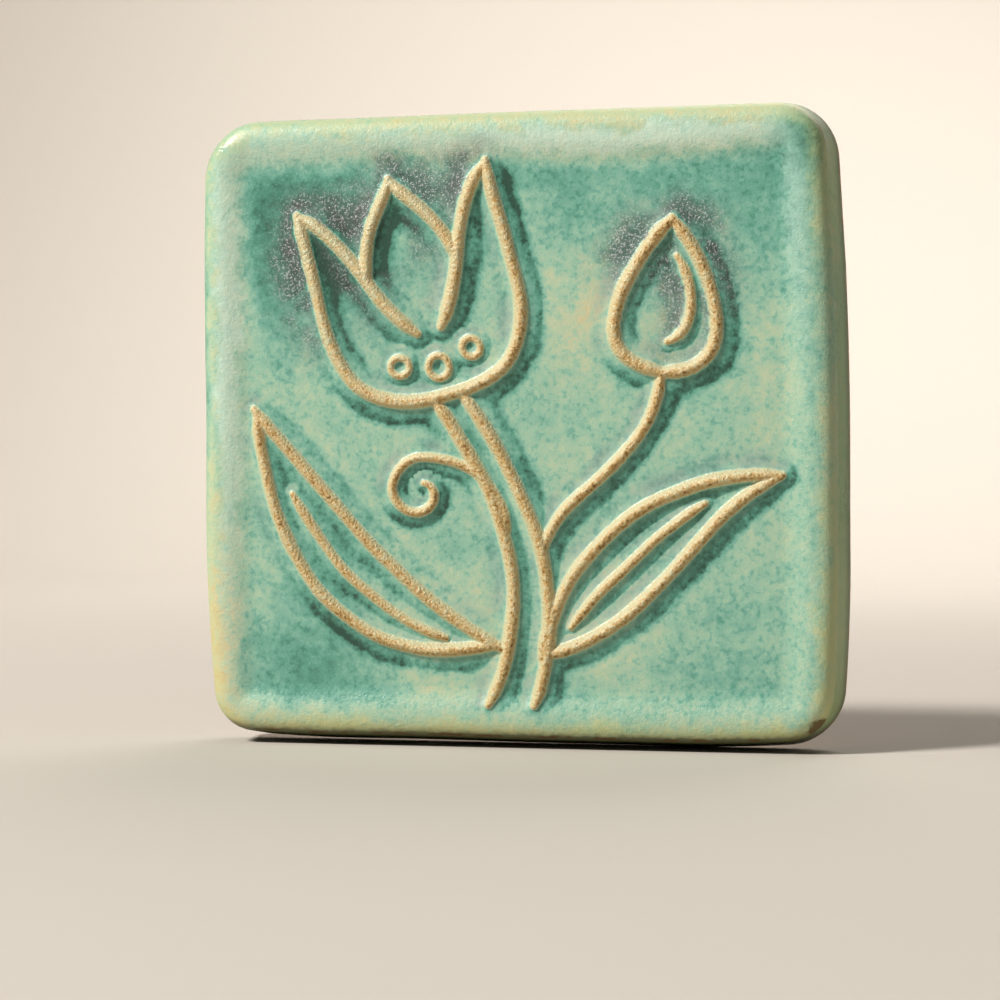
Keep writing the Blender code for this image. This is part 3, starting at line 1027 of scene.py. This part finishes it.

# %% [markdown]
# Where the glaze is thickest near the top it cooled slowly and grew a skin of tiny crystals. From a
# step away it is a purple-grey bloom along the upper left of the lines, and all round the bud, and
# close up it is flecks. The bloom is partly crystals and partly painted sheen on the slopes that face the
# light, and its pale flecks are painted glints. A faint grey painted sheen lies on the upper left of the
# other lines too.

# %% Grow the crystals, and paint their sheen and glints
CRYSTAL_DARK, CRYSTAL_GLINT, SHEEN_GREY = colour("4c4b4a"), colour("bab3b8"), colour("9fa49f")
crystal_places = patches((-32, 28, 26, 1.0), (-14, 40, 20, 0.8), (22, 34, 22, 1.0), (30, 14, 18, 0.5))
# Partly painted sheen: the bloom lies on the side of the lines that faces the light, and its pale flecks are
# painted glints.
lit_side = rising(patch(24, 28, 24) * 0.9 - lee, -0.6, 0.3)
crystals_and_sheen = (between(line + clouds(1.4) * 0.8, 1.0, 1.7, 3.8, 8.5) * rising(clouds(5), -1.1, 0.4)
            * lit_side * rising(crystal_places, 0.05, 0.6))
flecks = rising(clouds(0.34, 2.0), 0.0, 0.75)
crystal_and_glint_colour = overlaid(flecks, CRYSTAL_DARK, CRYSTAL_GLINT)
# Painted sheen: a faint grey on the upper left of the lines, where their slopes face the light.
grey_sheen_film = (between(line + clouds(0.9) * 0.4, 1.1, 1.7, 2.4, 4.8) * rising(0 - lee, 0.0, 0.8)
            * rising(clouds(4), -0.9, 0.5))
with_crystals_and_sheen = overlaid(crystals_and_sheen * 0.68, overlaid(grey_sheen_film * 0.42, green, SHEEN_GREY), crystal_and_glint_colour)
print("crystals grow in four patches near the top")

# %% [markdown]
# ## Bare clay
#
# The back was wiped clean before firing, so that the tile wouldn't stick to the kiln shelf. The wiped
# line wanders a millimetre or two up the sides. The clay is a warm buff with darker specks of grog.

# %% Leave the back bare
CLAY, CLAY_PALE, GROG = colour("a98763"), colour("c09f79"), colour("745339")
wiped = rising(drop + clouds(4) * 0.5 + clouds(1.2) * 0.2, 10.1, 10.7)
clay = overlaid(rising(clouds(2.5, 4.0), -0.8, 0.9), CLAY, CLAY_PALE)
clay = overlaid(rising(clouds(0.7), 1.0, 1.3), clay, GROG)
glaze.feed(glaze.shader.inputs["Base Color"], overlaid(wiped, with_crystals_and_sheen, clay))
print("clay shows from about 10 mm behind the rim")

# %% [markdown]
# ## Shine and fine relief
#
# The glaze is satin: a lamp makes a soft patch on it, broken up by a fine grain. The rim and the crests
# are duller, because the clay there carries only a film of glaze. One small spot at the top left corner is
# glossy, and sparkles, and the dark pool at the top right corner shines a little too. The grain is too
# small for the mesh, so a Bump node bends the light instead. Its heights are written in millimetres, and
# the node's distance of one millimetre turns them into real ones. It works each height out three times,
# so the masks for the rim, the crests and the bare clay go without their noise there.

# %% Set the shine
GLAZE_ROUGHNESS, CLAY_ROUGHNESS = 0.33, 0.88
on_crest = 1 - off_crest
rim_dullness = (1 - past_rim) * (0.16 - patch(-45.5, 43, 5.5) * 0.42) - corner_pool * 0.14
satin = (GLAZE_ROUGHNESS + clouds(1.3) * 0.05 - crystals_and_sheen * flecks * 0.14 + on_crest * 0.07
         + rim_dullness + bare_edge * 0.35)
glaze.feed(glaze.shader.inputs["Roughness"], mixed(wiped, satin, CLAY_ROUGHNESS))
print("the glaze's roughness varies round", GLAZE_ROUGHNESS)

# %% Roughen it with a fine grain
coarser = 1.6 - rising(inset, 4.0, 9.0) * 0.6
skin = (clouds(0.22, 1.0) * 0.008 + clouds(0.6) * 0.012 + clouds(1.8) * 0.014) * coarser
rough_crest = (1 - rising(line, 0.88, 1.36)) * (clouds(0.45, 2.0) * 0.07 - core * burned_pits * 0.4)
crystal_relief = crystals_and_sheen * flecks * 0.035
bare_relief = clouds(0.35, 3.0) * 0.03
height = mixed(rising(drop, 10.1, 10.7), skin + rough_crest + crystal_relief, bare_relief)
bumped = glaze.node("ShaderNodeBump", {}, {"Strength": 1.0, "Distance": MM, "Height": height})
glaze.feed(glaze.shader.inputs["Normal"], bumped)
glazed_tile.data.materials.append(glaze.material)
print("the finished glaze has", len(glaze.tree.nodes), "nodes")

# %% [markdown]
# ## Light
#
# The relief is only a millimetre high, so it needs light from one side. A warm soft box stands at the
# upper left, as the light falls in the photograph. The paper in front throws light back into every
# shadow, so it is a light grey rather than white. A hooded lamp of its own makes the paper behind the
# tile pale and warm, and two weak lamps light the tile's right side and back.

# %% Set the lamps and the paper
Lamp = namedtuple("Lamp", "name place target size spread_deg power tint")


def from_face(distance, turn_deg, lift_deg):
    """The place that many metres from the middle of the face, in that direction."""
    return face_middle + distance * bearing(turn_deg, lift_deg)


PAPER_BEHIND = Vector((0, SHEET_BEHIND + SHEET_BEND, 0.20))
LAMPS = [
    Lamp("window light", from_face(1.5, -48, 42), face_middle, 0.30, 180, 30.0, (1.0, 0.98, 0.95)),
    Lamp("paper light", Vector((0, 0.30, 1.20)), PAPER_BEHIND, 0.80, 90, 5.5, (1.0, 0.98, 0.95)),
    Lamp("right fill", from_face(0.9, 62, 18), face_middle, 0.60, 180, 0.2, (0.97, 0.98, 1.0)),
    Lamp("back light", from_face(1.1, 168, 48), face_middle, 0.70, 180, 4.0, (1.0, 0.98, 0.96)),
]
SURROUNDINGS = (0.86, 0.85, 0.83, 1.0)
SURROUNDINGS_STRENGTH = 0.07
PAPER, PAPER_ROUGHNESS = colour("c6beb3"), 0.9

for lamp in LAMPS:
    lamp_data = bpy.data.lights.new(lamp.name, "AREA")
    lamp_data.size = lamp.size
    lamp_data.spread = math.radians(lamp.spread_deg)
    lamp_data.energy = lamp.power
    lamp_data.color = lamp.tint
    lamp_object = bpy.data.objects.new(lamp.name, lamp_data)
    bpy.context.scene.collection.objects.link(lamp_object)
    look_at(lamp_object, lamp.place, lamp.target)

world = bpy.data.worlds.new("pale surroundings")
world.use_nodes = True
world.node_tree.nodes["Background"].inputs["Color"].default_value = SURROUNDINGS
world.node_tree.nodes["Background"].inputs["Strength"].default_value = SURROUNDINGS_STRENGTH
bpy.context.scene.world = world
bpy.context.scene.view_settings.view_transform = "Standard"

paper = Finish("pale paper")
paper.feed(paper.shader.inputs["Base Color"], PAPER)
paper.feed(paper.shader.inputs["Roughness"], PAPER_ROUGHNESS)
paper_sheet.data.materials.append(paper.material)
print("lamps:", [lamp.name for lamp in LAMPS])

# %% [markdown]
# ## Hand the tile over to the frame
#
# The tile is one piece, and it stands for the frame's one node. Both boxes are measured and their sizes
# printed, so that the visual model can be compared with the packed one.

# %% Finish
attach(glazed_tile, "root")
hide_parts("art_tile")
boxes = {"cad": [list(corner) for corner in cad_bounds], "visual": [list(corner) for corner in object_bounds()]}
for name, box in boxes.items():
    print(name, "size, in mm:", [round((high - low) / MM, 2) for low, high in zip(*box)])
